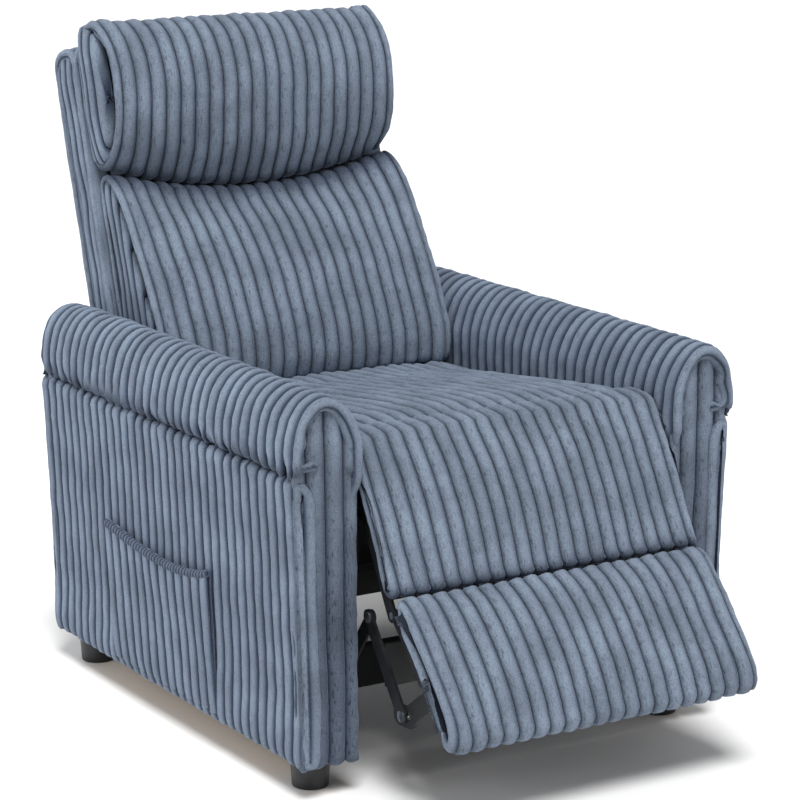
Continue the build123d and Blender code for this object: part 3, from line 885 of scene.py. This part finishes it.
def zincPlate():
    # bright zinc plating on pins and rivets: cold grey metal with faint turning marks and dulling
    material = newMaterial("zinc_plated_steel")
    tree = material.node_tree
    place = addNode(tree, "ShaderNodeTexCoord")
    marks = addNode(tree, "ShaderNodeTexNoise", inputs={
        "Vector": place.outputs["Object"], "Scale": 420.0, "Detail": 3.0})
    dull = addNode(tree, "ShaderNodeTexNoise", inputs={
        "Vector": place.outputs["Object"], "Scale": 90.0, "Detail": 4.0})
    colour = addNode(tree, "ShaderNodeValToRGB", inputs={"Fac": dull.outputs["Fac"]})
    colourRamp(colour, [(0.3, "#7d838a"), (0.7, "#b9bec4")])
    rough = addNode(tree, "ShaderNodeMapRange", inputs={
        "Value": dull.outputs["Fac"], "From Min": 0.3, "From Max": 0.7, "To Min": 0.28, "To Max": 0.5})
    bump = addNode(tree, "ShaderNodeBump", inputs={
        "Strength": 0.2, "Distance": 0.0002, "Height": marks.outputs["Fac"]})
    shader = addNode(tree, "ShaderNodeBsdfPrincipled", inputs={
        "Base Color": colour.outputs["Color"], "Roughness": rough.outputs["Result"], "Metallic": 1.0,
        "Normal": bump.outputs["Normal"]})
    addNode(tree, "ShaderNodeOutputMaterial", inputs={"Surface": shader.outputs["BSDF"]})
    return material


def birchPlywood():
    # raw birch plywood: pale grain along the board and darker glue lines between 1.5 mm plies
    material = newMaterial("birch_plywood_raw")
    tree = material.node_tree
    place = addNode(tree, "ShaderNodeTexCoord")
    stretch = addNode(tree, "ShaderNodeMapping", inputs={
        "Vector": place.outputs["Object"], "Scale": (22.0, 240.0, 300.0)})
    grain = addNode(tree, "ShaderNodeTexNoise", inputs={
        "Vector": stretch.outputs["Vector"], "Scale": 1.0, "Detail": 5.0, "Roughness": 0.6})
    ply = addNode(tree, "ShaderNodeTexWave", {"wave_type": "BANDS", "bands_direction": "X"}, {
        "Vector": place.outputs["Object"], "Scale": 105.0, "Distortion": 0.4})
    colour = addNode(tree, "ShaderNodeValToRGB", inputs={"Fac": grain.outputs["Fac"]})
    colourRamp(colour, [(0.25, "#b98f5e"), (0.55, "#d9b98a"), (0.8, "#e6cda4")])
    lines = addNode(tree, "ShaderNodeMapRange", inputs={
        "Value": ply.outputs["Fac"], "From Min": 0.0, "From Max": 0.12, "To Min": 0.72, "To Max": 1.0})
    grey = addNode(tree, "ShaderNodeCombineColor", inputs={
        "Red": lines.outputs["Result"], "Green": lines.outputs["Result"], "Blue": lines.outputs["Result"]})
    mixed = addNode(tree, "ShaderNodeMix", {"data_type": "RGBA", "blend_type": "MULTIPLY"}, {"Factor": 0.8})
    tree.links.new(colour.outputs["Color"], mixed.inputs[6])
    tree.links.new(grey.outputs["Color"], mixed.inputs[7])
    bump = addNode(tree, "ShaderNodeBump", inputs={
        "Strength": 0.3, "Distance": 0.0004, "Height": grain.outputs["Fac"]})
    shader = addNode(tree, "ShaderNodeBsdfPrincipled", inputs={
        "Base Color": mixed.outputs[2], "Roughness": 0.72, "IOR": 1.5, "Normal": bump.outputs["Normal"]})
    addNode(tree, "ShaderNodeOutputMaterial", inputs={"Surface": shader.outputs["BSDF"]})
    return material


def mouldedPlastic(name, dark, light, roughness):
    # injection-moulded polypropylene or nylon: spark-eroded grain and a soft waxy gloss
    material = newMaterial(name)
    tree = material.node_tree
    place = addNode(tree, "ShaderNodeTexCoord")
    grainCells = addNode(tree, "ShaderNodeTexVoronoi", inputs={
        "Vector": place.outputs["Object"], "Scale": 1400.0})
    wear = addNode(tree, "ShaderNodeTexNoise", inputs={
        "Vector": place.outputs["Object"], "Scale": 45.0, "Detail": 5.0})
    colour = addNode(tree, "ShaderNodeValToRGB", inputs={"Fac": wear.outputs["Fac"]})
    colourRamp(colour, [(0.35, dark), (0.75, light)])
    bump = addNode(tree, "ShaderNodeBump", inputs={
        "Strength": 0.3, "Distance": 0.0002, "Height": grainCells.outputs["Distance"]})
    shader = addNode(tree, "ShaderNodeBsdfPrincipled", inputs={
        "Base Color": colour.outputs["Color"], "Roughness": roughness, "IOR": 1.49,
        "Normal": bump.outputs["Normal"]})
    addNode(tree, "ShaderNodeOutputMaterial", inputs={"Surface": shader.outputs["BSDF"]})
    return material


def wovenBand(name, dark, light, threads, roughness):
    # polypropylene webbing, or black spun-bonded lining: crossed threads at the given number per metre
    material = newMaterial(name)
    tree = material.node_tree
    place = addNode(tree, "ShaderNodeTexCoord")
    warpThreads = addNode(tree, "ShaderNodeTexWave", {"wave_type": "BANDS", "bands_direction": "X"}, {
        "Vector": place.outputs["Object"], "Scale": threads, "Distortion": 0.8, "Detail": 2.0})
    weft = addNode(tree, "ShaderNodeTexWave", {"wave_type": "BANDS", "bands_direction": "Z"}, {
        "Vector": place.outputs["Object"], "Scale": threads, "Distortion": 0.8, "Detail": 2.0})
    cross = addNode(tree, "ShaderNodeMath", {"operation": "MULTIPLY"}, {
        0: warpThreads.outputs["Fac"], 1: weft.outputs["Fac"]})
    colour = addNode(tree, "ShaderNodeValToRGB", inputs={"Fac": cross.outputs[0]})
    colourRamp(colour, [(0.05, dark), (0.6, light)])
    bump = addNode(tree, "ShaderNodeBump", inputs={
        "Strength": 0.5, "Distance": 0.0005, "Height": cross.outputs[0]})
    shader = addNode(tree, "ShaderNodeBsdfPrincipled", inputs={
        "Base Color": colour.outputs["Color"], "Roughness": roughness, "IOR": 1.5,
        "Normal": bump.outputs["Normal"]})
    addNode(tree, "ShaderNodeOutputMaterial", inputs={"Surface": shader.outputs["BSDF"]})
    return material


finishes = {
    "black": powderCoat(),
    "zinc": zincPlate(),
    "plywood": birchPlywood(),
    "foot": mouldedPlastic("polypropylene_foot_black", "#101114", "#1d1f23", 0.42),
    "nylon": mouldedPlastic("glide_nylon_natural", "#b9b6a8", "#d6d3c6", 0.38),
    "webbing": wovenBand("elastic_webbing_black", "#08090b", "#24272c", 260.0, 0.85),
    "lining": wovenBand("spunbond_lining_black", "#07080a", "#17191d", 420.0, 0.95),
}
finishOf = {
    "foot_": "foot", "arm_frame": "plywood", "back_rail": "plywood", "back_upright": "plywood",
    "base_front_rail": "lining", "base_rear_rail": "lining", "seat_rail": "lining", "legrest_board": "lining",
    "footrest_board": "lining", "back_webbing": "webbing", "glide_runners": "nylon", "seat_springs": "zinc",
    "link_rivets": "zinc", "fold_pins": "zinc", "pivot_pins": "zinc",
}
replaced = {"seat_cushion", "legrest_pad", "footrest_pad", "lumbar_pad", "head_pad", "back_shell",
            "side_pocket"}
for nodeName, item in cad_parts.items():
    if nodeName in replaced or "_panel_" in nodeName or "arm_roll" in nodeName:
        continue
    finish = next((value for key, value in finishOf.items() if key in nodeName), "black")
    for place in item.material_slots:
        place.material = finishes[finish]
print("hard parts finished")

# Camera, floor and light

floorHalf = 40.0
bpy.ops.mesh.primitive_plane_add(size=2 * floorHalf, location=(0, 0, 0))
floor = bpy.context.object
floor.name = "studioFloor"
floorMaterial = newMaterial("studio_floor_paint")
floorTree = floorMaterial.node_tree
floorShader = addNode(floorTree, "ShaderNodeBsdfPrincipled", inputs={
    "Base Color": linear("#f6f6f6"), "Roughness": 0.9, "Specular IOR Level": 0.1})
addNode(floorTree, "ShaderNodeOutputMaterial", inputs={"Surface": floorShader.outputs["BSDF"]})
floor.data.materials.append(floorMaterial)

view = {
    "turn": -31.74,     # degrees round from the front, towards the sitter's right
    "tilt": 12.95,      # degrees above the horizon
    "lens": 133.55,     # mm on a 36 mm sensor
    "place": (-2.2579, -3.4002, 1.4525),   # metres from the middle of the front feet
}
camera = bpy.data.objects.new("camera", bpy.data.cameras.new("camera"))
bpy.context.collection.objects.link(camera)
camera.data.lens = view["lens"]
camera.data.sensor_width = 36.0
camera.data.clip_end = 60
camera.location = (view["place"][0], view["place"][1] + feetY / 1000, view["place"][2])
azimuth, elevation = math.radians(view["turn"]), math.radians(view["tilt"])
back = Vector((math.sin(azimuth) * math.cos(elevation), -math.cos(azimuth) * math.cos(elevation),
               math.sin(elevation)))
camera.rotation_mode = "QUATERNION"
camera.rotation_quaternion = (-back).to_track_quat("-Z", "Y")
bpy.context.scene.camera = camera

lights = [
    # name, kind, place, width (metres, or degrees for the sun), power, colour
    ("keyLight", "SUN", (-0.9, -2.0, 4.4), 22, 3.0, "#ffffff"),
    ("sideLight", "AREA", (-3.4, -0.4, 1.6), 1.6, 26, "#ffffff"),
    ("backLight", "AREA", (-0.8, 3.0, 2.6), 2.4, 30, "#ffffff"),
]
for name, kind, place, width, power, colour in lights:
    lamp = bpy.data.lights.new(name, kind)
    lamp.energy, lamp.color = power, linear(colour)[:3]
    if kind == "SUN":
        lamp.angle = math.radians(width)
    else:
        lamp.size = width
    item = bpy.data.objects.new(name, lamp)
    bpy.context.collection.objects.link(item)
    item.location = place
    item.rotation_mode = "QUATERNION"
    item.rotation_quaternion = (Vector((0, 0, 0.45)) - Vector(place)).to_track_quat("-Z", "Y")
world = bpy.data.worlds.new("studio")
bpy.context.scene.world = world
world.use_nodes = True
world.node_tree.nodes["Background"].inputs["Color"].default_value = (1, 1, 1, 1)
world.node_tree.nodes["Background"].inputs["Strength"].default_value = 0.42
bpy.context.scene.view_settings.view_transform = "Standard"
print("camera and lights set")
